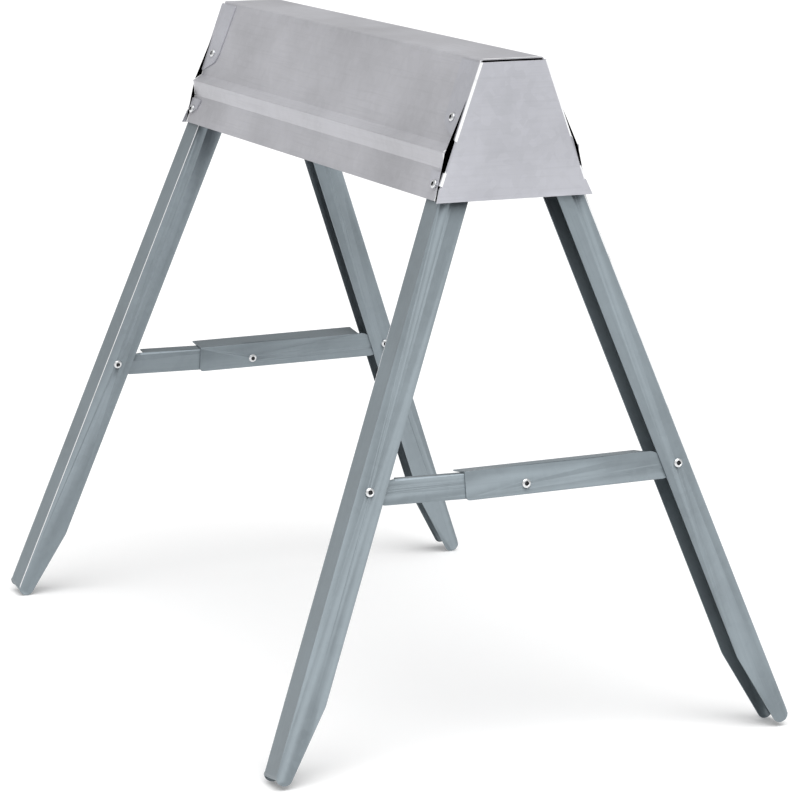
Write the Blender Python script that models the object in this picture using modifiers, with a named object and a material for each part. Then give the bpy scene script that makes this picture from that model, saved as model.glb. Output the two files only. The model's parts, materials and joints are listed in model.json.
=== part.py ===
"""Folding sawhorse of bent galvanised sheet, in metres, standing on z = 0.

A trapezoid sheet cover is closed by two end caps. Under each end a hanger carries two channel legs,
and a two-link brace, pinned to both legs and to itself, holds them apart. X runs along the beam,
the front legs are at -Y and the rear legs at +Y, and the right end is at +X.
"""

import math

import bmesh
import bpy
from mathutils import Matrix, Vector

# Overall sizes
HEIGHT = 0.737
BEAM_LENGTH = 0.762
BEAM_TOP_WIDTH = 0.071
BEAM_DEPTH = 0.146
WALL_LEAN = math.radians(19.85)

# Sheet metal
COVER_SHEET = 0.0015
CAP_SHEET = 0.0015
HANGER_SHEET = 0.0020
LEG_SHEET = 0.0016
LINK_SHEET = 0.0016
FIT_GAP = 0.0003

# Stiffening rib along both walls, as drops below the beam's top
RIB_START = 0.0885
RIB_RIDGE = 0.0980
RIB_END = 0.1135
RIB_RISE = 0.0084
TOP_BEND = 0.0030
RIB_BEND = 0.0015

# End caps
CAP_TOP_DROP = 0.0030
CAP_END_GAP = 0.0035
UPPER_TAB_DEPTH = 0.048
UPPER_TAB_END = 0.084
LOWER_TAB_DEPTH = 0.034
LOWER_TAB_START = 0.1165
LOWER_TAB_END = 0.1420
TAB_TAPER = 0.006
CAP_LIP_HEIGHT = 0.012
CAP_LIP_FLARE = 0.004

# Wall rivets
WALL_RIVET_RADIUS = 0.0022
UPPER_RIVET_DROP = 0.062
EAR_RIVET_OFFSET = 0.0014
LOWER_RIVET_DROP = 0.130
LOWER_RIVET_INSET = 0.016

# Legs
LEG_WIDTH = 0.036
LEG_DEPTH = 0.032
LEG_TILT = math.radians(7.5)
LEG_SPLAY = math.radians(20.4)
LEG_WALL_CLEARANCE = 0.0030
LEG_END_INSET = 0.0264
FOOT_TAPER = 0.090
FOOT_TIP = 0.017
SOLE_ALLOWANCE = 0.0005
PIVOT_DROP = 0.100
PIVOT_INSET = 0.014

# Brace
BRACE_RIVET_HEIGHT = 0.295
LINK_HEIGHT = 0.031
REAR_LINK_WEB = 0.030
FRONT_LINK_WEB = 0.016
FRONT_LINK_STEP = 0.0040
LINK_END_RADIUS = 0.0110
LINK_WEB_START = 0.030
CENTRE_DROP = 0.0064
CENTRE_HOLE_OFFSET = 0.0040
REAR_LINK_OVERLAP = 0.070
TONGUE_LENGTH = 0.056
SLIT_AHEAD = 0.014
SLIT_BEHIND = 0.078

# Pins
PIN_RADIUS = 0.0030
PIN_HEAD_RADIUS = 0.0050
PIN_HEAD_HEIGHT = 0.0024
CENTRE_TAIL_HEIGHT = 0.0012
HOLE_CLEARANCE = 0.0006
RIVET_STEPS = 14

GALVANISED = (0.62, 0.63, 0.66)
CAP_GREY = (0.66, 0.66, 0.70)
BLUE_GREY = (0.36, 0.42, 0.45)
BRIGHT = (0.78, 0.79, 0.80)
ENDS = {"left": -1, "right": 1}
SIDES = {"front": -1, "rear": 1}

# Derived places
PIVOT_HEIGHT = HEIGHT - PIVOT_DROP
WALL_SLOPE = math.tan(WALL_LEAN)
HALF_TOP = BEAM_TOP_WIDTH / 2
PIVOT_X = BEAM_LENGTH / 2 - LEG_END_INSET
UPPER_RIVET_INSET = LEG_END_INSET - EAR_RIVET_OFFSET


def wall_y(drop, offset=0.0):
    """Half width of the beam at a drop below its top, moved square to the wall by offset."""
    return HALF_TOP + drop * WALL_SLOPE + offset / math.cos(WALL_LEAN)


PIVOT_Y = (
    wall_y(PIVOT_DROP, -COVER_SHEET)
    - (LEG_WALL_CLEARANCE + PIVOT_INSET) / math.cos(LEG_SPLAY)
)
BRACE_REACH = (PIVOT_HEIGHT - BRACE_RIVET_HEIGHT) / (math.cos(LEG_SPLAY) * math.cos(LEG_TILT))
BRACE_RIVET_Y = PIVOT_Y + BRACE_REACH * math.sin(LEG_SPLAY)
HOLE_SPAN = math.hypot(BRACE_RIVET_Y, CENTRE_DROP)
LINK_LENGTH = math.sqrt(HOLE_SPAN**2 - CENTRE_HOLE_OFFSET**2)
LINK_DIP = math.asin(CENTRE_DROP / HOLE_SPAN) - math.asin(CENTRE_HOLE_OFFSET / HOLE_SPAN)
TIP_RADIUS = FOOT_TIP / 2
LEG_REACH = (
    PIVOT_HEIGHT
    + (PIVOT_INSET - TIP_RADIUS) * math.sin(LEG_SPLAY) * math.cos(LEG_TILT)
    - TIP_RADIUS * math.cos(LEG_TILT)
    - LEG_WIDTH / 2 * math.sin(LEG_TILT)
    - SOLE_ALLOWANCE
) / (math.cos(LEG_SPLAY) * math.cos(LEG_TILT)) + TIP_RADIUS

# Layers across a leg channel, along its pin, from the flange that faces +X
FLANGE_OUTSIDE = LEG_WIDTH / 2
FLANGE_INSIDE = FLANGE_OUTSIDE - LEG_SHEET
REAR_LINK_FACE = FLANGE_INSIDE - FIT_GAP
FRONT_LINK_FACE = REAR_LINK_FACE - LINK_SHEET - FIT_GAP
HANGER_HALF_WIDTH = FLANGE_INSIDE - FIT_GAP


def new_collection(name):
    collection = bpy.data.collections.new(name)
    bpy.context.scene.collection.children.link(collection)
    return collection


def new_material(name, colour, roughness, metallic):
    material = bpy.data.materials.new(name)
    material.use_nodes = True
    shader = material.node_tree.nodes["Principled BSDF"]
    shader.inputs["Base Color"].default_value = (*colour, 1)
    shader.inputs["Roughness"].default_value = roughness
    shader.inputs["Metallic"].default_value = metallic
    return material


def add_object(name, mesh, collection, parent=None, location=(0, 0, 0), rotation=(0, 0, 0)):
    obj = bpy.data.objects.new(name, mesh)
    collection.objects.link(obj)
    obj.parent = parent
    obj.location = location
    obj.rotation_euler = rotation
    return obj


def rounded(corners, segments=4):
    """Points of an outline whose corners, each (x, y, radius), are turned into arcs."""
    points = []
    count = len(corners)
    for i, (x, y, radius) in enumerate(corners):
        here = Vector((x, y))
        if radius == 0:
            points.append(here)
            continue
        before = Vector(corners[i - 1][:2]) - here
        after = Vector(corners[(i + 1) % count][:2]) - here
        half = before.angle(after) / 2
        reach = radius / math.tan(half)
        centre = here + (before.normalized() + after.normalized()).normalized() * (
            radius / math.sin(half)
        )
        start = here + before.normalized() * reach - centre
        sweep = start.angle_signed(here + after.normalized() * reach - centre)
        for step in range(segments + 1):
            angle = -sweep * step / segments
            points.append(centre + Matrix.Rotation(angle, 2) @ start)
    return points


def outline_object(name, points, low, high, collection):
    """A flat outline in local Y and Z, with its thickness from low to high along local X."""
    curve = bpy.data.curves.new(name, "CURVE")
    curve.dimensions = "2D"
    curve.fill_mode = "BOTH"
    curve.extrude = (high - low) / 2
    spline = curve.splines.new("POLY")
    spline.points.add(len(points) - 1)
    for point, (x, y) in zip(spline.points, points):
        point.co = (x, y, 0, 1)
    spline.use_cyclic_u = True
    flat = bpy.data.objects.new(name, curve)
    bpy.context.scene.collection.objects.link(flat)
    bpy.context.view_layer.update()
    graph = bpy.context.evaluated_depsgraph_get()
    mesh = bpy.data.meshes.new_from_object(flat.evaluated_get(graph))
    bpy.data.objects.remove(flat)
    mesh.transform(Matrix(((0, 0, 1, (low + high) / 2), (1, 0, 0, 0), (0, 1, 0, 0), (0, 0, 0, 1))))
    work = bmesh.new()
    work.from_mesh(mesh)
    bmesh.ops.remove_doubles(work, verts=work.verts, dist=1e-6)
    bmesh.ops.recalc_face_normals(work, faces=work.faces)
    work.to_mesh(mesh)
    work.free()
    return add_object(name, mesh, collection)


def box_object(name, low, high, collection):
    mesh = bpy.data.meshes.new(name)
    work = bmesh.new()
    size = Vector(high) - Vector(low)
    place = Matrix.Translation((Vector(high) + Vector(low)) / 2) @ Matrix.Diagonal((*size, 1))
    bmesh.ops.create_cube(work, size=1, matrix=place)
    work.to_mesh(mesh)
    work.free()
    return add_object(name, mesh, collection)


def combine(target, other, operation):
    modifier = target.modifiers.new(operation.title(), "BOOLEAN")
    modifier.operation = operation
    modifier.object = other
    other.hide_render = True
    other.display_type = "WIRE"


def cut(target, cutter):
    """Cuts a shape that is drawn in the target's own frame out of it."""
    cutter.parent = target
    combine(target, cutter, "DIFFERENCE")


def join(target, other):
    other.parent = target
    combine(target, other, "UNION")


def drill(target, pins, radius, low, high):
    """One cutter with a hole along each pin's own Z axis, from low to high on it."""
    mesh = bpy.data.meshes.new(f"{target.name}_holes")
    work = bmesh.new()
    for pin in pins:
        middle = Matrix.Translation((0, 0, (low + high) / 2))
        bmesh.ops.create_cone(
            work,
            cap_ends=True,
            segments=16,
            radius1=radius,
            radius2=radius,
            depth=high - low,
            matrix=pin.matrix_world @ middle,
        )
    work.to_mesh(mesh)
    work.free()
    combine(target, add_object(mesh.name, mesh, cutters), "DIFFERENCE")


def solidify(obj, thickness, offset=-1):
    modifier = obj.modifiers.new("Sheet", "SOLIDIFY")
    modifier.thickness = thickness
    modifier.offset = offset
    modifier.use_even_offset = True


def add_rivet(name, grip, radius, head_radius, head_height, parent, location, rotation, heads=2):
    """A turned rivet on its own Z axis: a domed head above grip[1] and a flat tail below grip[0]."""
    low, high = grip
    dome = [
        (head_radius * math.sin(angle), high + head_height * math.cos(angle))
        for angle in (math.radians(d) for d in (0, 25, 50, 72, 90))
    ]
    tail = head_radius * 0.8 if heads == 2 else radius
    profile = dome + [(radius, high), (radius, low)]
    if heads == 2:
        profile += [(tail, low), (tail * 0.9, low - head_height * 0.4), (0, low - head_height * 0.4)]
    else:
        profile += [(0, low)]
    mesh = bpy.data.meshes.new(name)
    work = bmesh.new()
    verts = [work.verts.new((x, 0, z)) for x, z in profile]
    for first, second in zip(verts, verts[1:]):
        work.edges.new((first, second))
    work.to_mesh(mesh)
    work.free()
    rivet = add_object(name, mesh, parts, parent, location, rotation)
    screw = rivet.modifiers.new("Turn", "SCREW")
    screw.steps = RIVET_STEPS
    screw.render_steps = RIVET_STEPS
    screw.use_merge_vertices = True
    screw.merge_threshold = 1e-5
    mesh.materials.append(rivet_material)
    return rivet


def build_cover():
    """The beam's sheet cover: an inverted channel with a rib standing out of each leaning wall."""
    half = BEAM_LENGTH / 2 - CAP_SHEET - CAP_END_GAP
    outward, upward = math.cos(WALL_LEAN), math.sin(WALL_LEAN)
    side = [
        (HALF_TOP, 0, TOP_BEND),
        (wall_y(RIB_START), RIB_START, RIB_BEND),
        (wall_y(RIB_RIDGE) + RIB_RISE * outward, RIB_RIDGE - RIB_RISE * upward, RIB_BEND),
        (wall_y(RIB_END), RIB_END, RIB_BEND),
        (wall_y(BEAM_DEPTH), BEAM_DEPTH, 0),
    ]
    closed = rounded([(0, 0, 0)] + side + [(0, BEAM_DEPTH, 0)], 3)
    mesh = bpy.data.meshes.new("beam_cover")
    work = bmesh.new()
    verts = [work.verts.new((-half, y, HEIGHT - drop)) for y, drop in closed[:-1]]
    edges = [work.edges.new(pair) for pair in zip(verts, verts[1:])]
    swept = bmesh.ops.extrude_edge_only(work, edges=edges)["geom"]
    moved = [item for item in swept if isinstance(item, bmesh.types.BMVert)]
    bmesh.ops.translate(work, verts=moved, vec=(2 * half, 0, 0))
    bmesh.ops.recalc_face_normals(work, faces=work.faces)
    top = max(work.faces, key=lambda face: face.calc_center_median().z)
    if top.normal.z < 0:
        bmesh.ops.reverse_faces(work, faces=work.faces)
    work.to_mesh(mesh)
    work.free()
    mesh.materials.append(cover_material)
    cover = add_object("beam_cover", mesh, parts)
    mirror = cover.modifiers.new("Mirror", "MIRROR")
    mirror.use_axis = (False, True, False)
    mirror.merge_threshold = 1e-5
    solidify(cover, COVER_SHEET)
    return cover


def tab_outline(depth, start, end, corner):
    """A cap tab in its wall's plane, as (inset from the end, drop) points."""
    lower_rise = 0.014 if corner > 0.01 else 0.0
    return rounded(
        [(0, start, 0), (depth, start, 0.002), (depth - TAB_TAPER, end - lower_rise, corner), (0, end, 0)]
    )


def build_end_cap(end, sign):
    """A trapezoid plate over the beam's end, with two tabs lapped over each wall and a flared lip."""
    mesh = bpy.data.meshes.new(f"{end}_end_cap")
    work = bmesh.new()
    lift = CAP_SHEET + FIT_GAP

    def vert(inset, drop, y=None):
        across = wall_y(drop, lift) if y is None else y
        return work.verts.new((sign * (BEAM_LENGTH / 2 - inset), across, HEIGHT - drop))

    crease = BEAM_DEPTH - CAP_LIP_HEIGHT
    upper = tab_outline(UPPER_TAB_DEPTH, CAP_TOP_DROP, UPPER_TAB_END, 0.016)
    lower = tab_outline(LOWER_TAB_DEPTH, LOWER_TAB_START, LOWER_TAB_END - 0.012, 0.006)
    upper_verts = [vert(inset, drop) for inset, drop in upper]
    lower_verts = [vert(inset, drop) for inset, drop in lower]
    middle_top, middle_crease = vert(0, CAP_TOP_DROP, 0), vert(0, crease, 0)
    corner = vert(0, crease)
    plate = [middle_top, upper_verts[0], upper_verts[-1], lower_verts[0], lower_verts[-1], corner]
    work.faces.new([*plate, middle_crease])
    work.faces.new(upper_verts)
    work.faces.new(lower_verts)
    lip = [vert(-CAP_LIP_FLARE, BEAM_DEPTH + 0.001), vert(-CAP_LIP_FLARE, BEAM_DEPTH + 0.001, 0)]
    work.faces.new([middle_crease, corner, *lip])
    bmesh.ops.recalc_face_normals(work, faces=work.faces)
    main = max(work.faces, key=lambda face: face.calc_area())
    if main.normal.x * sign < 0:
        bmesh.ops.reverse_faces(work, faces=work.faces)
    work.to_mesh(mesh)
    work.free()
    mesh.materials.append(cap_material)
    cap = add_object(f"{end}_end_cap", mesh, parts)
    mirror = cap.modifiers.new("Mirror", "MIRROR")
    mirror.use_axis = (False, True, False)
    mirror.merge_threshold = 1e-5
    solidify(cap, CAP_SHEET)
    return cap


def build_hanger(end, sign, frame):
    """The bracket under one end: a folded channel across the beam, with an ear up each wall."""
    mesh = bpy.data.meshes.new(f"{end}_hanger")
    work = bmesh.new()
    top = PIVOT_DROP - UPPER_RIVET_DROP - 0.012
    half = HANGER_HALF_WIDTH
    tilt_rise = sign * math.sin(LEG_TILT)

    def wall_vert(across, up):
        height = PIVOT_HEIGHT + across * tilt_rise + up * math.cos(LEG_TILT)
        y = wall_y(HEIGHT - height, -COVER_SHEET - FIT_GAP - HANGER_SHEET)
        return work.verts.new((across, y, up))

    inner, outer = wall_vert(-half, top), wall_vert(half, top)
    ear_inner, ear_outer = wall_vert(-half * 0.75, top + 0.028), wall_vert(half * 0.75, top + 0.028)
    mid_inner, mid_outer = work.verts.new((-half, 0, top)), work.verts.new((half, 0, top))
    work.faces.new([mid_inner, inner, outer, mid_outer])
    work.faces.new([inner, ear_inner, ear_outer, outer])
    boss = PIVOT_INSET - LEG_SHEET - 0.0025
    for across, corner, middle in ((-half, inner, mid_inner), (half, outer, mid_outer)):
        arc = [
            (PIVOT_Y + boss * math.cos(angle), boss * math.sin(angle))
            for angle in (math.radians(d) for d in (20, 0, -30, -60, -90))
        ]
        bottom = [work.verts.new((across, y, up)) for y, up in arc + [(0, -boss)]]
        work.faces.new([middle, corner, *bottom])
    bmesh.ops.recalc_face_normals(work, faces=work.faces)
    roof = next(face for face in work.faces if mid_inner in face.verts and mid_outer in face.verts)
    if roof.normal.z < 0:
        bmesh.ops.reverse_faces(work, faces=work.faces)
    work.to_mesh(mesh)
    work.free()
    mesh.materials.append(hanger_material)
    hanger = add_object(f"{end}_hanger", mesh, parts, frame)
    mirror = hanger.modifiers.new("Mirror", "MIRROR")
    mirror.use_axis = (False, True, False)
    mirror.merge_threshold = 1e-5
    solidify(hanger, HANGER_SHEET)
    return hanger


def build_leg(end, side, out, frame):
    """A channel that opens inwards, hung on its pivot, with its free edges tapered at the foot."""
    inner = PIVOT_INSET - LEG_DEPTH
    corners = [
        (out * PIVOT_INSET, PIVOT_INSET, PIVOT_INSET * 0.98),
        (out * inner, PIVOT_INSET, PIVOT_INSET * 0.9),
        (out * inner, -(LEG_REACH - FOOT_TAPER), 0.030),
        (out * (PIVOT_INSET - FOOT_TIP), -LEG_REACH, TIP_RADIUS * 0.97),
        (out * PIVOT_INSET, -LEG_REACH, TIP_RADIUS * 0.99),
    ]
    name = f"{end}_{side}_leg"
    leg = outline_object(name, rounded(corners), -FLANGE_OUTSIDE, FLANGE_OUTSIDE, parts)
    leg.data.materials.append(leg_material)
    leg.parent = frame
    leg.location = (0, out * PIVOT_Y, 0)
    leg.rotation_euler = (out * LEG_SPLAY, 0, 0)
    web_inside = out * (PIVOT_INSET - LEG_SHEET)
    far_inside = out * (inner - 0.01)
    low_y, high_y = sorted((web_inside, far_inside))
    channel = box_object(
        f"{name}_channel",
        (-FLANGE_INSIDE, low_y, -LEG_REACH - 0.01),
        (FLANGE_INSIDE, high_y, PIVOT_INSET + 0.01),
        cutters,
    )
    cut(leg, channel)
    low_y, high_y = sorted((0, out * (PIVOT_INSET + 0.01)))
    web_top = box_object(
        f"{name}_web_top",
        (-FLANGE_INSIDE, low_y, 0),
        (FLANGE_INSIDE, high_y, PIVOT_INSET + 0.01),
        cutters,
    )
    cut(leg, web_top)
    return leg


def build_link(end, side, out, leg):
    """An angle-section brace link: a face with a flat web folded over its top."""
    toward = -out
    rear = side == "rear"
    face = REAR_LINK_FACE if rear else FRONT_LINK_FACE
    web_depth = REAR_LINK_WEB if rear else FRONT_LINK_WEB
    top = LINK_HEIGHT / 2 if rear else LINK_HEIGHT / 2 - FRONT_LINK_STEP
    bottom = -LINK_HEIGHT / 2
    length = LINK_LENGTH + (REAR_LINK_OVERLAP if rear else LINK_END_RADIUS)
    end_round = 0.002 if rear else LINK_END_RADIUS * 0.8
    trim = LINK_END_RADIUS
    corners = [
        (-trim, trim * 0.75, trim * 0.7),
        (trim, trim * 0.75, 0.010),
        (LINK_WEB_START, top, 0.010),
        (length, top, end_round),
        (length, bottom, 0.004 if rear else end_round),
        (LINK_WEB_START * 0.6, bottom, 0.010),
        (-trim, -trim * 0.75, trim * 0.7),
    ]
    points = [(toward * v, h) for v, h in rounded(corners)]
    name = f"{end}_{side}_link"
    link = outline_object(name, points, face - LINK_SHEET, face, parts)
    link.data.materials.append(link_material)
    link.parent = leg
    link.location = (0, 0, -BRACE_REACH)
    link.rotation_euler = (out * (LINK_DIP - LEG_SPLAY), 0, 0)
    web_end = length if rear else LINK_LENGTH - TONGUE_LENGTH
    web_start = LINK_WEB_START + 0.006
    low_y, high_y = sorted((toward * web_start, toward * web_end))
    web = box_object(
        f"{name}_web",
        (face - web_depth, low_y, top - LINK_SHEET),
        (face - LINK_SHEET / 4, high_y, top),
        cutters,
    )
    join(link, web)
    if rear:
        low_y, high_y = sorted(
            (toward * (LINK_LENGTH + SLIT_AHEAD), toward * (LINK_LENGTH - SLIT_BEHIND))
        )
        slit = box_object(
            f"{name}_slit",
            (FRONT_LINK_FACE - LINK_SHEET - CENTRE_TAIL_HEIGHT - 3 * FIT_GAP, low_y, 0),
            (face - LINK_SHEET, high_y, LINK_HEIGHT),
            cutters,
        )
        cut(link, slit)
    return link


def build_end(end, sign):
    """Everything that hangs at one end of the beam, with the holes that its rivets pass through."""
    frame = bpy.data.objects.new(f"{end}_leg_frame", None)
    parts.objects.link(frame)
    frame.location = (sign * PIVOT_X, 0, PIVOT_HEIGHT)
    frame.rotation_euler = (0, -sign * LEG_TILT, 0)
    cap = build_end_cap(end, sign)
    hanger = build_hanger(end, sign, frame)
    across = (0, math.pi / 2, 0)
    upper, lower, pivots = [], [], []
    for side, out in SIDES.items():
        square_to_wall = (-out * (math.pi / 2 - WALL_LEAN), 0, 0)
        for level, drop, inset, inside in (
            ("upper", UPPER_RIVET_DROP, UPPER_RIVET_INSET, HANGER_SHEET + 2 * FIT_GAP),
            ("lower", LOWER_RIVET_DROP, LOWER_RIVET_INSET, FIT_GAP),
        ):
            place = (sign * (BEAM_LENGTH / 2 - inset), out * wall_y(drop), HEIGHT - drop)
            rivet = add_rivet(
                f"{end}_{side}_{level}_wall_rivet",
                (-COVER_SHEET - inside, CAP_SHEET + 2 * FIT_GAP),
                WALL_RIVET_RADIUS,
                PIN_HEAD_RADIUS,
                PIN_HEAD_HEIGHT,
                None,
                place,
                square_to_wall,
            )
            (upper if level == "upper" else lower).append(rivet)
        leg = build_leg(end, side, out, frame)
        link = build_link(end, side, out, leg)
        pivot = add_rivet(
            f"{end}_{side}_pivot_rivet",
            (-FLANGE_OUTSIDE - FIT_GAP, FLANGE_OUTSIDE + FIT_GAP),
            PIN_RADIUS,
            PIN_HEAD_RADIUS,
            PIN_HEAD_HEIGHT,
            frame,
            (0, out * PIVOT_Y, 0),
            across,
        )
        pivots.append(pivot)
        face = REAR_LINK_FACE if side == "rear" else FRONT_LINK_FACE
        link_rivet = add_rivet(
            f"{end}_{side}_link_rivet",
            (face - LINK_SHEET - FIT_GAP, FLANGE_OUTSIDE + FIT_GAP),
            PIN_RADIUS,
            PIN_HEAD_RADIUS,
            PIN_HEAD_HEIGHT,
            leg,
            (0, 0, -BRACE_REACH),
            across,
        )
        if side == "front":
            add_washer(end, leg)
        bpy.context.view_layer.update()
        hole = PIN_RADIUS + HOLE_CLEARANCE
        drill(leg, [pivot], hole, -LEG_WIDTH, LEG_WIDTH)
        drill(leg, [link_rivet], hole, FLANGE_INSIDE - LEG_SHEET, LEG_WIDTH)
        drill(link, [link_rivet], hole, face - 3 * LINK_SHEET, LEG_WIDTH)
        if side == "front":
            add_centre_tail(end, link)
        else:
            add_centre_rivet(end, link)
    drill(hanger, pivots, PIN_RADIUS + HOLE_CLEARANCE, -LEG_WIDTH, LEG_WIDTH)
    wall_hole = WALL_RIVET_RADIUS + HOLE_CLEARANCE
    for target in (cap, hanger):
        drill(target, upper, wall_hole, -0.008, 0.006)
    drill(cap, lower, wall_hole, -0.004, 0.006)
    return upper + lower


def add_washer(end, leg):
    """Spacer that fills the front link's step away from its leg's flange."""
    thickness = FLANGE_INSIDE - FRONT_LINK_FACE - 2 * FIT_GAP
    middle = (FLANGE_INSIDE + FRONT_LINK_FACE) / 2
    name = f"{end}_link_spacer"
    radius = PIN_RADIUS + HOLE_CLEARANCE
    profile = [
        (PIN_HEAD_RADIUS * 1.4, thickness / 2),
        (PIN_HEAD_RADIUS * 1.4, -thickness / 2),
        (radius, -thickness / 2),
        (radius, thickness / 2),
    ]
    mesh = bpy.data.meshes.new(name)
    work = bmesh.new()
    verts = [work.verts.new((x, 0, z)) for x, z in profile]
    for i, first in enumerate(verts):
        work.edges.new((first, verts[(i + 1) % len(verts)]))
    work.to_mesh(mesh)
    work.free()
    mesh.materials.append(rivet_material)
    washer = add_object(name, mesh, parts, leg, (middle, 0, -BRACE_REACH), (0, math.pi / 2, 0))
    screw = washer.modifiers.new("Turn", "SCREW")
    screw.steps = RIVET_STEPS
    screw.render_steps = RIVET_STEPS
    screw.use_merge_vertices = True
    screw.merge_threshold = 1e-5


def centre_place(out):
    return (0, -out * LINK_LENGTH, -CENTRE_HOLE_OFFSET)


def add_centre_rivet(end, link):
    """The brace's middle rivet, headed over the rear link's face."""
    place = centre_place(SIDES["rear"])
    rivet = add_rivet(
        f"{end}_brace_centre_rivet",
        (REAR_LINK_FACE - LINK_SHEET, REAR_LINK_FACE + FIT_GAP),
        PIN_RADIUS,
        PIN_HEAD_RADIUS,
        PIN_HEAD_HEIGHT * 0.8,
        link,
        place,
        (0, math.pi / 2, 0),
        heads=1,
    )
    bpy.context.view_layer.update()
    drill(link, [rivet], PIN_RADIUS + HOLE_CLEARANCE, REAR_LINK_FACE - 0.004, REAR_LINK_FACE + 0.004)


def add_centre_tail(end, link):
    """The same rivet's upset tail, held in the front link."""
    place = centre_place(SIDES["front"])
    rivet = add_rivet(
        f"{end}_brace_centre_tail",
        (-FRONT_LINK_FACE, -(FRONT_LINK_FACE - LINK_SHEET - FIT_GAP)),
        PIN_RADIUS,
        PIN_HEAD_RADIUS,
        CENTRE_TAIL_HEIGHT,
        link,
        place,
        (0, -math.pi / 2, 0),
        heads=1,
    )
    bpy.context.view_layer.update()
    low = -(FRONT_LINK_FACE + 0.004)
    drill(link, [rivet], PIN_RADIUS + HOLE_CLEARANCE, low, low + 0.012)


def smooth_round_pieces():
    for obj in parts.objects:
        if obj.type == "MESH" and "Turn" in obj.modifiers:
            obj.modifiers["Turn"].use_smooth_shade = True


for old in list(bpy.data.objects):
    bpy.data.objects.remove(old)
parts = new_collection("folding_sawhorse")
cutters = new_collection("cutters")
cutters.hide_render = True
cover_material = new_material("galvanised_cover", GALVANISED, 0.42, 0.8)
cap_material = new_material("galvanised_cap", CAP_GREY, 0.45, 0.8)
hanger_material = new_material("hanger_steel", BLUE_GREY, 0.5, 0.8)
leg_material = new_material("leg_steel", BLUE_GREY, 0.45, 0.7)
link_material = new_material("link_steel", BLUE_GREY, 0.45, 0.7)
rivet_material = new_material("bright_rivet", BRIGHT, 0.3, 0.9)

beam_cover = build_cover()
wall_rivets = [rivet for end, sign in ENDS.items() for rivet in build_end(end, sign)]
bpy.context.view_layer.update()
drill(beam_cover, wall_rivets, WALL_RIVET_RADIUS + HOLE_CLEARANCE, -0.006, 0.006)
smooth_round_pieces()
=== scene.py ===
"""Looks of a folding sawhorse bent from galvanised sheet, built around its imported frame."""

import json
import math

import bmesh
import bpy
import numpy as np
from mathutils import Matrix, Vector


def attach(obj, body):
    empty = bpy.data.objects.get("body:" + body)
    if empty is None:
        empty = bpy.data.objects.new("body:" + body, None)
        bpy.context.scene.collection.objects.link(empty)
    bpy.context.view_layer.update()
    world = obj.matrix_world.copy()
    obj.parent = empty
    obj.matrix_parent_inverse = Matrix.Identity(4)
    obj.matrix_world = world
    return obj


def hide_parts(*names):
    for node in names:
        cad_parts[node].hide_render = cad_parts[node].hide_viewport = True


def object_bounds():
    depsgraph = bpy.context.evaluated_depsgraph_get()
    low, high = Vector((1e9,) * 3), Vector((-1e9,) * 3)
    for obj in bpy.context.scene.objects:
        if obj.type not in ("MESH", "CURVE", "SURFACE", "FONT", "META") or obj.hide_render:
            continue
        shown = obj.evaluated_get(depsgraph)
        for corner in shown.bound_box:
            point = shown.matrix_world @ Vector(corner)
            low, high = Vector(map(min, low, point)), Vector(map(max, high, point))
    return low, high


bl_info = {
    "name": "Folding sawhorse looks",
    "version": (1, 0, 0),
    "blender": (4, 5, 0),
    "location": "3D View > Sidebar > Sawhorse",
    "description": "Sheet-metal pieces, rivets, galvanised finishes and a plain studio",
    "category": "Add Mesh",
}

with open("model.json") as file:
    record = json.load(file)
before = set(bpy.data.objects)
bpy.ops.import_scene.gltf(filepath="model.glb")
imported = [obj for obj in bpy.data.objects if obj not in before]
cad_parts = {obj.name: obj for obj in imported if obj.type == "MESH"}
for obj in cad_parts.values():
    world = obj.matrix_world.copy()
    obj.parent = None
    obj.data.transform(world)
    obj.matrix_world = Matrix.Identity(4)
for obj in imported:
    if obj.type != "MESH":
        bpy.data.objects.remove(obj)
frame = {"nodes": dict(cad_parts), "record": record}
CAD_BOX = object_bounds()
RECORD = frame["record"]
BODY_OF = {node: body for body, nodes in RECORD["behaviour"]["bodies"].items() for node in nodes}
JOINT_OF = {joint["child"]: joint for joint in RECORD["behaviour"]["joints"]}
ENDS = ("left", "right")
SIDES = ("front", "rear")
WELD_DISTANCE = 0.00001
FLAT_ANGLE = math.radians(0.6)
BEND_ANGLE = math.radians(35)
SHORTEST_BEND = 0.008
BROAD_FACE = 0.004
CUT_ANGLE = math.radians(50)
SHORTEST_CUT = 0.0012
CUT_SEGMENTS = 2
SHEET_SMOOTH_ANGLE = math.radians(32)
TURNED_SMOOTH_ANGLE = math.radians(35)
# Material slot of the painted highlight on the bends.
BEND_HIGHLIGHT_SLOT = 1
# Material slot of the near-black painted shade inside the rivet recess.
RECESS_SHADE_SLOT = 1
SHANK_SHARE = 0.55
TAIL_SHARE = 0.78
FLOOR_SIZE = 80
FLOOR_GAP = 0.0005
FLOOR_WHITE = (0.93, 0.93, 0.93, 1)
FLOOR_GLOW = 0.12
WHITE = (1, 1, 1, 1)
SUN_TOWARDS = (0.55, -0.12, 1.0)
SUN_STRENGTH = 2.3
SUN_SPREAD = math.radians(60)


# Settings


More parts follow.
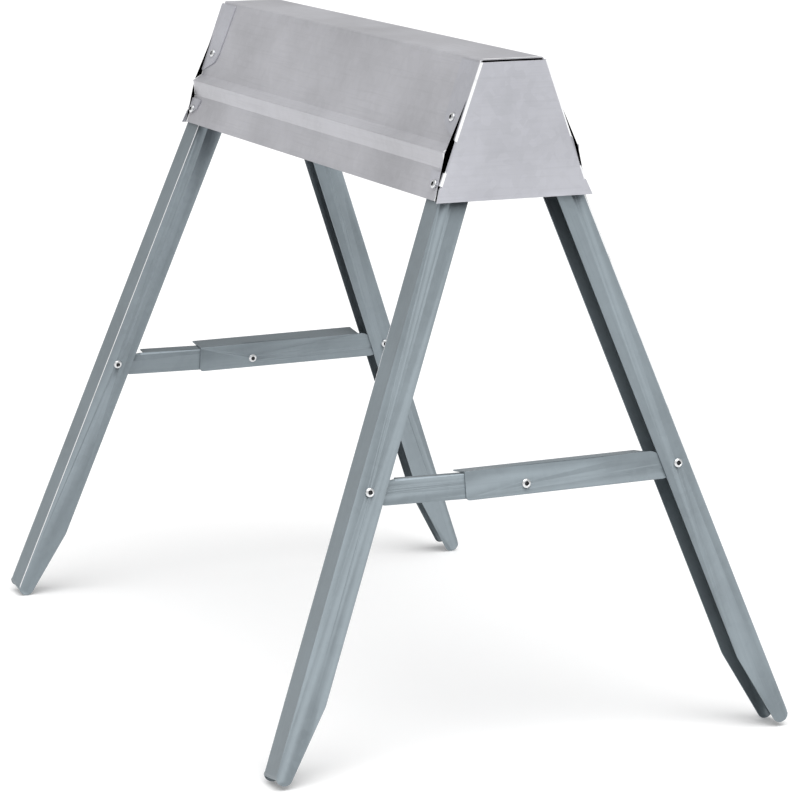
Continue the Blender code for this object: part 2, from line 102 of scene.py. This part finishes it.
class SAWHORSE_PG_sheet(bpy.types.PropertyGroup):
    bend_radius: bpy.props.FloatProperty(
        name="Bend radius",
        description="Outside radius of a folded edge",
        default=0.0024,
        unit="LENGTH",
    )
    edge_break: bpy.props.FloatProperty(
        name="Edge break",
        description="Rounding of every cut edge",
        default=0.00025,
        unit="LENGTH",
    )
    bend_segments: bpy.props.IntProperty(
        name="Bend segments",
        description="Facets across a bend",
        default=5,
        min=1,
    )
    cover_colour: bpy.props.FloatVectorProperty(
        name="Cover",
        description="Zinc colour of the cover",
        default=(0.50, 0.50, 0.53),
        subtype="COLOR",
    )
    cap_colour: bpy.props.FloatVectorProperty(
        name="End caps",
        description="Zinc colour of the end caps",
        default=(0.49, 0.495, 0.535),
        subtype="COLOR",
    )
    leg_colour: bpy.props.FloatVectorProperty(
        name="Legs and brace",
        description="Blue-grey zinc of the legs and brace",
        default=(0.235, 0.275, 0.30),
        subtype="COLOR",
    )
    # Painted highlight: near-white colour put on the rounded bends, standing in for the light the bends
    # catch.
    bend_highlight_colour: bpy.props.FloatVectorProperty(
        name="Worn bends",
        description="Bright metal along the rubbed bends",
        default=(0.93, 0.94, 0.95),
        subtype="COLOR",
    )


class SAWHORSE_PG_rivets(bpy.types.PropertyGroup):
    steps: bpy.props.IntProperty(
        name="Steps",
        description="Facets round a rivet",
        default=40,
        min=12,
    )
    bore_share: bpy.props.FloatProperty(
        name="Recess",
        description="Radius of the mandrel recess as a share of the head's radius",
        default=0.52,
        subtype="FACTOR",
    )
    bore_depth: bpy.props.FloatProperty(
        name="Recess depth",
        description="Depth of the mandrel recess below the head's crown",
        default=0.0016,
        unit="LENGTH",
    )
    colour: bpy.props.FloatVectorProperty(
        name="Rivets",
        description="Bright zinc of the rivets",
        default=(0.80, 0.81, 0.82),
        subtype="COLOR",
    )


class SAWHORSE_PG_stage(bpy.types.PropertyGroup):
    azimuth: bpy.props.FloatProperty(
        name="Azimuth",
        description="Turn of the camera from the front towards the right end",
        default=math.radians(66.52),
        subtype="ANGLE",
    )
    elevation: bpy.props.FloatProperty(
        name="Elevation",
        description="Height of the camera above the horizon",
        default=math.radians(11.39),
        subtype="ANGLE",
    )
    distance: bpy.props.FloatProperty(
        name="Distance",
        description="From the camera to its target",
        default=4.12,
        unit="LENGTH",
    )
    target: bpy.props.FloatVectorProperty(
        name="Target",
        description="Point at the middle of the view",
        default=(0.024, 0.025, 0.306),
        subtype="XYZ",
    )
    lens: bpy.props.FloatProperty(
        name="Lens",
        description="Focal length in millimetres on a 36 mm sensor",
        default=160.1,
    )
    world_light: bpy.props.FloatProperty(
        name="Surrounding light",
        description="Strength of the plain white surroundings",
        default=0.5,
    )


# Shader maths


class Socket:
    """A node socket that builds Math nodes from Python expressions."""

    def __init__(self, graph, socket):
        self.graph = graph
        self.socket = socket

    def _maths(self, operation, first, second):
        return self.graph.node("ShaderNodeMath", {"operation": operation}, {0: first, 1: second})

    def __add__(self, other):
        return self._maths("ADD", self, other)

    def __mul__(self, other):
        return self._maths("MULTIPLY", self, other)

    __radd__ = __add__
    __rmul__ = __mul__


class Graph:
    """A material's nodes, made one call at a time."""

    def __init__(self, name):
        self.material = bpy.data.materials.new(name)
        self.material.use_nodes = True
        self.tree = self.material.node_tree
        self.shader = self.tree.nodes["Principled BSDF"]

    def link(self, target, value):
        if isinstance(value, Socket):
            self.tree.links.new(value.socket, target)
        else:
            target.default_value = value

    def node(self, kind, settings, inputs, output=0):
        made = self.tree.nodes.new(kind)
        for key, value in settings.items():
            setattr(made, key, value)
        for key, value in inputs.items():
            self.link(made.inputs[key], value)
        return Socket(self, made.outputs[output])

    def vector_maths(self, operation, inputs, output=0):
        return self.node("ShaderNodeVectorMath", {"operation": operation}, inputs, output)

    def place(self):
        return self.node("ShaderNodeTexCoord", {}, {}, "Object")

    def along(self, direction, stretch):
        """Object coordinates with the pattern drawn out along a direction."""
        place = self.place()
        dot = self.vector_maths("DOT_PRODUCT", {0: place, 1: direction}, "Value")
        shift = self.vector_maths("SCALE", {0: direction, "Scale": dot * (1 - 1 / stretch)})
        return self.vector_maths("SUBTRACT", {0: place, 1: shift})

    def noise(self, place, scale, detail=3.0, roughness=0.5):
        return self.node(
            "ShaderNodeTexNoise",
            {},
            {"Vector": place, "Scale": scale, "Detail": detail, "Roughness": roughness},
        )

    def ramp(self, value, low, high, bottom=0.0, top=1.0):
        return self.node(
            "ShaderNodeMapRange",
            {"clamp": True},
            {"Value": value, "From Min": low, "From Max": high, "To Min": bottom, "To Max": top},
        )

    def mix(self, factor, first, second):
        return self.node(
            "ShaderNodeMix",
            {"data_type": "RGBA", "clamp_factor": True},
            {0: factor, 6: (*first, 1) if isinstance(first, tuple) else first, 7: (*second, 1)},
            2,
        )

    def finish(self, **inputs):
        for key, value in inputs.items():
            self.link(self.shader.inputs[key.replace("_", " ")], value)
        return self.material


def shade(colour, factor):
    return tuple(min(1.0, channel * factor) for channel in colour)


def galvanised(name, colour, direction, rough=0.42, metallic=0.4, spangle=0.7):
    """Zinc-coated sheet: soft clouds, crystal spangle, rolling lines and small scuffs."""
    graph = Graph(name)
    colour = tuple(colour)
    place = graph.place()
    drawn = graph.along(direction, 40.0)
    clouds = graph.noise(place, 9.0, 4.0)
    lines = graph.noise(drawn, 420.0, 2.0)
    scuffs = graph.noise(graph.along(direction, 9.0), 160.0, 5.0, 0.7)
    cells = {"Vector": place, "Scale": 130.0}
    crystal = graph.node("ShaderNodeTexVoronoi", {"feature": "F1"}, cells, "Color")
    grey = graph.node("ShaderNodeRGBToBW", {}, {0: crystal})
    tone = graph.mix(graph.ramp(clouds, 0.32, 0.68), shade(colour, 0.88), shade(colour, 1.10))
    tone = graph.mix(graph.ramp(grey, 0.2, 0.9) * (0.22 * spangle), tone, shade(colour, 1.35))
    tone = graph.mix(graph.ramp(lines, 0.5, 0.72) * 0.22, tone, shade(colour, 0.78))
    tone = graph.mix(graph.ramp(scuffs, 0.66, 0.76) * 0.30, tone, shade(colour, 1.45))
    roughness = graph.ramp(clouds, 0.3, 0.7, rough - 0.06, rough + 0.08) + grey * (0.05 * spangle)
    height = lines * 0.4 + grey * (0.35 * spangle) + scuffs * 0.3
    bump = graph.node("ShaderNodeBump", {}, {"Strength": 0.10, "Distance": 0.0004, "Height": height})
    return graph.finish(Base_Color=tone, Roughness=roughness, Normal=bump, Metallic=metallic)


def painted_bend_highlight(name, colour):
    """Painted highlight on the outside of a bend: near-white colour standing in for the light the bend
    catches, broken by darker patches.
    """
    graph = Graph(name)
    patches = graph.noise(graph.place(), 60.0, 4.0)
    tone = graph.mix(graph.ramp(patches, 0.58, 0.75), tuple(colour), shade(colour, 0.72))
    rough = graph.ramp(patches, 0.3, 0.7, 0.28, 0.46)
    return graph.finish(Base_Color=tone, Roughness=rough, Metallic=0.1)


def bright_zinc(name, colour):
    """Small bright fastener metal with fine dull specks."""
    graph = Graph(name)
    specks = graph.noise(graph.place(), 900.0, 3.0)
    tone = graph.mix(graph.ramp(specks, 0.5, 0.75), tuple(colour), shade(colour, 0.7))
    rough = graph.ramp(specks, 0.3, 0.7, 0.22, 0.4)
    return graph.finish(Base_Color=tone, Roughness=rough, Metallic=0.9)


def shadowed_mandrel(name):
    """The snapped mandrel at the bottom of a rivet's recess, coloured near-black as painted shade that
    fills the recess.
    """
    graph = Graph(name)
    specks = graph.noise(graph.place(), 1400.0, 3.0)
    tone = graph.mix(specks, (0.012, 0.012, 0.014), (0.05, 0.05, 0.055))
    return graph.finish(Base_Color=tone, Roughness=graph.ramp(specks, 0, 1, 0.5, 0.8), Metallic=0.4)


# Sheet pieces


def active_only(obj):
    bpy.ops.object.select_all(action="DESELECT")
    obj.select_set(True)
    bpy.context.view_layer.objects.active = obj


def weld_and_flatten(obj):
    """Joins the loose triangles and clears the lines that cross flat faces."""
    active_only(obj)
    bpy.ops.object.mode_set(mode="EDIT")
    bpy.ops.mesh.select_all(action="SELECT")
    bpy.ops.mesh.remove_doubles(threshold=WELD_DISTANCE)
    bpy.ops.mesh.dissolve_limited(angle_limit=FLAT_ANGLE)
    bpy.ops.object.mode_set(mode="OBJECT")


def mark_edges(obj, choose):
    """Gives each edge the bevel weight that choose returns for it."""
    work = bmesh.new()
    work.from_mesh(obj.data)
    weights = [choose(edge) for edge in work.edges]
    work.free()
    attribute = obj.data.attributes.get("bevel_weight_edge")
    if attribute is None:
        attribute = obj.data.attributes.new("bevel_weight_edge", "FLOAT", "EDGE")
    attribute.data.foreach_set("value", weights)


def bend_weight(edge):
    """1 on the outside of a fold between two broad faces, else 0."""
    if len(edge.link_faces) != 2 or not edge.is_convex:
        return 0.0
    length = edge.calc_length()
    if length < SHORTEST_BEND or edge.calc_face_angle() < BEND_ANGLE:
        return 0.0
    broad = all(face.calc_area() / length > BROAD_FACE for face in edge.link_faces)
    return 1.0 if broad else 0.0


def cut_weight(edge):
    """1 on a cut edge of the sheet, else 0."""
    if len(edge.link_faces) != 2 or edge.calc_length() < SHORTEST_CUT:
        return 0.0
    return 1.0 if edge.calc_face_angle() > CUT_ANGLE else 0.0


def bevel_marked(obj, width, segments, clamp=True, material_index=-1):
    """Rounds the weighted edges. Without clamp, a short edge beside a fold doesn't narrow it."""
    bevel = obj.modifiers.new("Rounding", "BEVEL")
    bevel.limit_method = "WEIGHT"
    bevel.width = width
    bevel.segments = segments
    bevel.material = material_index
    bevel.use_clamp_overlap = clamp
    active_only(obj)
    bpy.ops.object.modifier_apply(modifier=bevel.name)


def finish_sheet(node, name, material, highlight_paint):
    """A node's sheet with rounded bends and broken edges, standing for that node."""
    sheet = bpy.context.scene.sawhorse_sheet
    piece = frame["nodes"][node].copy()
    piece.data = frame["nodes"][node].data.copy()
    piece.name = name
    piece.parent = None
    bpy.context.scene.collection.objects.link(piece)
    weld_and_flatten(piece)
    piece.data.materials.clear()
    piece.data.materials.append(material)
    piece.data.materials.append(highlight_paint)
    mark_edges(piece, bend_weight)
    # The rounded bend faces take the painted highlight material.
    bevel_marked(piece, sheet.bend_radius, sheet.bend_segments, False, BEND_HIGHLIGHT_SLOT)
    mark_edges(piece, cut_weight)
    bevel_marked(piece, sheet.edge_break, CUT_SEGMENTS)
    flatten_shading(piece)
    settle(piece, node)
    return piece


def flatten_shading(piece):
    """Smooths the bends and keeps the broad faces flat."""
    active_only(piece)
    bpy.ops.object.shade_smooth_by_angle(angle=SHEET_SMOOTH_ANGLE)
    normals = piece.modifiers.new("Flat faces", "WEIGHTED_NORMAL")
    normals.keep_sharp = True
    normals.weight = 100
    bpy.ops.object.modifier_apply(modifier=normals.name)


def settle(piece, node):
    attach(piece, BODY_OF[node])
    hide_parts(node)


class SAWHORSE_OT_cover(bpy.types.Operator):
    """Add the beam's cover"""

    bl_idname = "sawhorse.cover"
    bl_label = "Cover"

    def execute(self, context):
        sheet = context.scene.sawhorse_sheet
        zinc = galvanised("cover_zinc", sheet.cover_colour, (1, 0, 0))
        # The cover's bends get the near-white painted highlight.
        finish_sheet("beam_cover", "cover_sheet", zinc, painted_bend_highlight("cover_bend_highlight", sheet.bend_highlight_colour))
        return {"FINISHED"}


class SAWHORSE_OT_end_caps(bpy.types.Operator):
    """Add the two end caps"""

    bl_idname = "sawhorse.end_caps"
    bl_label = "End caps"

    def execute(self, context):
        sheet = context.scene.sawhorse_sheet
        zinc = galvanised("cap_zinc", sheet.cap_colour, (0, 1, 0), 0.46)
        # The caps' bends get the near-white painted highlight.
        highlight_paint = painted_bend_highlight("cap_bend_highlight", sheet.bend_highlight_colour)
        for end in ENDS:
            finish_sheet(f"{end}_end_cap", f"{end}_cap_sheet", zinc, highlight_paint)
        return {"FINISHED"}


class SAWHORSE_OT_hangers(bpy.types.Operator):
    """Add the brackets that carry the legs"""

    bl_idname = "sawhorse.hangers"
    bl_label = "Hangers"

    def execute(self, context):
        sheet = context.scene.sawhorse_sheet
        zinc = galvanised("hanger_zinc", sheet.leg_colour, (0, 1, 0), 0.5)
        # The hangers' bends get a painted highlight, the leg colour made 1.5 times brighter.
        highlight_paint = painted_bend_highlight("hanger_bend_highlight", shade(sheet.leg_colour, 1.5))
        for end in ENDS:
            finish_sheet(f"{end}_hanger", f"{end}_hanger_sheet", zinc, highlight_paint)
        return {"FINISHED"}


def leg_direction(end, side):
    """The way a leg runs, from its pivot to its brace rivet."""
    pivot = Vector(JOINT_OF[f"{end}_{side}_leg"]["pos_m"])
    rivet = Vector(JOINT_OF[f"{end}_{side}_link"]["pos_m"])
    return tuple((rivet - pivot).normalized())


class SAWHORSE_OT_legs(bpy.types.Operator):
    """Add the four channel legs"""

    bl_idname = "sawhorse.legs"
    bl_label = "Legs"

    def execute(self, context):
        sheet = context.scene.sawhorse_sheet
        # The legs' bends get the near-white painted highlight.
        highlight_paint = painted_bend_highlight("leg_bend_highlight", sheet.bend_highlight_colour)
        for end in ENDS:
            for side in SIDES:
                zinc = galvanised(f"{end}_{side}_leg_zinc", sheet.leg_colour, leg_direction(end, side))
                finish_sheet(f"{end}_{side}_leg", f"{end}_{side}_leg_sheet", zinc, highlight_paint)
        return {"FINISHED"}


class SAWHORSE_OT_brace(bpy.types.Operator):
    """Add the four brace links"""

    bl_idname = "sawhorse.brace"
    bl_label = "Brace links"

    def execute(self, context):
        sheet = context.scene.sawhorse_sheet
        zinc = galvanised("link_zinc", sheet.leg_colour, (0, 1, 0))
        # The links' bends get a painted highlight, the leg colour made 1.6 times brighter.
        highlight_paint = painted_bend_highlight("link_bend_highlight", shade(sheet.leg_colour, 1.6))
        for end in ENDS:
            for side in SIDES:
                finish_sheet(f"{end}_{side}_link", f"{end}_{side}_link_sheet", zinc, highlight_paint)
        return {"FINISHED"}


# Rivets


def turned_axis(node):
    """(axis, middle) of a turned node: the direction its spread is unlike the other two in."""
    points = np.array([vertex.co for vertex in frame["nodes"][node].data.vertices])
    points = np.unique(np.round(points, 6), axis=0)
    middle = points.mean(axis=0)
    values, vectors = np.linalg.eigh(np.cov((points - middle).T))
    odd = 0 if values[1] - values[0] > values[2] - values[1] else 2
    return vectors[:, odd], middle


def rivet_frame(node, outward):
    """The rivet's placing matrix, its crown's height, its foot's depth and its head's radius."""
    axis, middle = turned_axis(node)
    axis = Vector(axis)
    if axis.dot(outward) < 0:
        axis = -axis
    middle = Vector(middle)
    offsets = [vertex.co - middle for vertex in frame["nodes"][node].data.vertices]
    heights = [offset.dot(axis) for offset in offsets]
    radius = max((offset - axis * offset.dot(axis)).length for offset in offsets)
    place = Matrix.Translation(middle) @ axis.to_track_quat("Z", "Y").to_matrix().to_4x4()
    return place, max(heights), min(heights), radius


def turned_piece(name, profile, place, steps):
    """A profile of (radius, height) points, turned about its own axis and put in place."""
    mesh = bpy.data.meshes.new(name)
    work = bmesh.new()
    verts = [work.verts.new((x, 0, z)) for x, z in profile]
    for first, second in zip(verts, verts[1:]):
        work.edges.new((first, second))
    work.to_mesh(mesh)
    work.free()
    piece = bpy.data.objects.new(name, mesh)
    bpy.context.scene.collection.objects.link(piece)
    screw = piece.modifiers.new("Turn", "SCREW")
    screw.steps = steps
    screw.render_steps = steps
    screw.use_merge_vertices = True
    screw.merge_threshold = WELD_DISTANCE
    active_only(piece)
    bpy.ops.object.modifier_apply(modifier=screw.name)
    piece.data.transform(place)
    bpy.ops.object.mode_set(mode="EDIT")
    bpy.ops.mesh.select_all(action="SELECT")
    bpy.ops.mesh.normals_make_consistent(inside=False)
    bpy.ops.object.mode_set(mode="OBJECT")
    bpy.ops.object.shade_smooth_by_angle(angle=TURNED_SMOOTH_ANGLE)
    return piece


def blind_rivet(node, outward, metal, recess_shade, head_height=0.0024, tail_height=0.001):
    """A blind rivet: a domed flange with a mandrel recess, a shank and a set tail."""
    rivets = bpy.context.scene.sawhorse_rivets
    place, top, foot, radius = rivet_frame(node, outward)
    bore = radius * rivets.bore_share
    seat = top - head_height
    floor = top - rivets.bore_depth
    shank = radius * SHANK_SHARE
    flare = radius * TAIL_SHARE
    dome = [
        (radius * math.cos(angle), seat + head_height * 0.25 + head_height * 0.75 * math.sin(angle))
        for angle in (math.radians(d) for d in range(60, -1, -10))
    ]
    lip = [(0, floor + bore * 0.35), (bore * 0.55, floor + bore * 0.25), (bore * 0.8, floor), (bore, floor)]
    rim = [(bore, top - head_height * 0.12), (bore * 1.08, top - head_height * 0.02)]
    tail = [(flare, foot + tail_height), (flare, foot + tail_height * 0.3), (radius * 0.6, foot)]
    base = [(radius, seat), (shank, seat), (shank, foot + tail_height)]
    profile = lip + rim + dome + base + tail + [(0, foot)]
    piece = turned_piece(f"{node}_finished", profile, place, rivets.steps)
    piece.data.materials.append(metal)
    piece.data.materials.append(recess_shade)
    middle = place.translation
    axis = place.to_3x3() @ Vector((0, 0, 1))
    # Every face inside the recess, its walls and floor, takes the near-black painted shade.
    for face in piece.data.polygons:
        offset = face.center - middle
        height = offset.dot(axis)
        across = (offset - axis * height).length
        if height > seat and across < bore * 1.01:
            face.material_index = RECESS_SHADE_SLOT
    settle(piece, node)
    return piece


class SAWHORSE_OT_rivets(bpy.types.Operator):
    """Add the wall, pivot and brace rivets"""

    bl_idname = "sawhorse.rivets"
    bl_label = "Rivets"

    def execute(self, context):
        metal = bright_zinc("rivet_zinc", context.scene.sawhorse_rivets.colour)
        # Near-black painted shade for the inside of the rivet recesses.
        recess_shade = shadowed_mandrel("mandrel_painted_shade")
        for end in ENDS:
            for side, out in zip(SIDES, (-1, 1)):
                for level in ("upper", "lower"):
                    blind_rivet(f"{end}_{side}_{level}_wall_rivet", Vector((0, out, 0.3)), metal, recess_shade)
                for kind in ("pivot", "link"):
                    blind_rivet(f"{end}_{side}_{kind}_rivet", Vector((1, 0, 0)), metal, recess_shade)
            centre = f"{end}_brace_centre_rivet"
            blind_rivet(centre, Vector((1, 0, 0)), metal, recess_shade, 0.0019, 0.0004)
            for node in (f"{end}_brace_centre_tail", f"{end}_link_spacer"):
                frame["nodes"][node].data.materials.clear()
                frame["nodes"][node].data.materials.append(metal)
        return {"FINISHED"}


# Stage


def add_sky_light(name, towards, strength, spread):
    """A broad soft light from far away, so that the whole floor is lit alike."""
    data = bpy.data.lights.new(name, "SUN")
    data.energy = strength
    data.angle = spread
    light = bpy.data.objects.new(name, data)
    bpy.context.scene.collection.objects.link(light)
    light.rotation_euler = Vector(towards).to_track_quat("Z", "Y").to_euler()


class SAWHORSE_OT_stage(bpy.types.Operator):
    """Add the camera, the floor and the studio light"""

    bl_idname = "sawhorse.stage"
    bl_label = "Stage"

    def execute(self, context):
        stage = context.scene.sawhorse_stage
        flat = math.cos(stage.elevation)
        back = Vector(
            (flat * math.sin(stage.azimuth), -flat * math.cos(stage.azimuth), math.sin(stage.elevation))
        )
        data = bpy.data.cameras.new("studio_camera")
        data.lens = stage.lens
        data.clip_end = 100
        camera = bpy.data.objects.new("studio_camera", data)
        context.scene.collection.objects.link(camera)
        camera.location = Vector(stage.target) + back * stage.distance
        camera.rotation_euler = back.to_track_quat("Z", "Y").to_euler()
        context.scene.camera = camera
        bpy.ops.object.select_all(action="DESELECT")
        bpy.ops.mesh.primitive_plane_add(size=FLOOR_SIZE, location=(0, 0, CAD_BOX[0][2] - FLOOR_GAP))
        floor = context.active_object
        floor.name = "studio_floor"
        paint = Graph("floor_white").finish(
            Base_Color=FLOOR_WHITE,
            Roughness=0.9,
            Specular_IOR_Level=0.0,
            Emission_Color=WHITE,
            Emission_Strength=FLOOR_GLOW,
        )
        floor.data.materials.append(paint)
        world = bpy.data.worlds.new("white_room")
        world.use_nodes = True
        background = world.node_tree.nodes["Background"]
        background.inputs["Color"].default_value = WHITE
        background.inputs["Strength"].default_value = stage.world_light
        context.scene.world = world
        context.scene.view_settings.view_transform = "Standard"
        add_sky_light("sky_light", SUN_TOWARDS, SUN_STRENGTH, SUN_SPREAD)
        return {"FINISHED"}


class SAWHORSE_PT_panel(bpy.types.Panel):
    """Lists what builds the sawhorse"""

    bl_idname = "SAWHORSE_PT_panel"
    bl_label = "Sawhorse"
    bl_space_type = "VIEW_3D"
    bl_region_type = "UI"
    bl_category = "Sawhorse"

    def draw(self, context):
        for operator in OPERATORS:
            self.layout.operator(operator.bl_idname)
        for group in (getattr(context.scene, key) for key in GROUPS):
            for name in group.bl_rna.properties.keys():
                if name not in ("rna_type", "name"):
                    self.layout.prop(group, name)


GROUPS = {
    "sawhorse_sheet": SAWHORSE_PG_sheet,
    "sawhorse_rivets": SAWHORSE_PG_rivets,
    "sawhorse_stage": SAWHORSE_PG_stage,
}
OPERATORS = (
    SAWHORSE_OT_stage,
    SAWHORSE_OT_cover,
    SAWHORSE_OT_end_caps,
    SAWHORSE_OT_hangers,
    SAWHORSE_OT_legs,
    SAWHORSE_OT_brace,
    SAWHORSE_OT_rivets,
)


def register():
    for group in (*GROUPS.values(), *OPERATORS, SAWHORSE_PT_panel):
        bpy.utils.register_class(group)
    for name, group in GROUPS.items():
        setattr(bpy.types.Scene, name, bpy.props.PointerProperty(type=group))


def unregister():
    for name in GROUPS:
        delattr(bpy.types.Scene, name)
    for group in reversed((*GROUPS.values(), *OPERATORS, SAWHORSE_PT_panel)):
        bpy.utils.unregister_class(group)


def main():
    register()
    for operator in OPERATORS:
        family, name = operator.bl_idname.split(".")
        getattr(getattr(bpy.ops, family), name)()


if __name__ == "__main__":
    main()
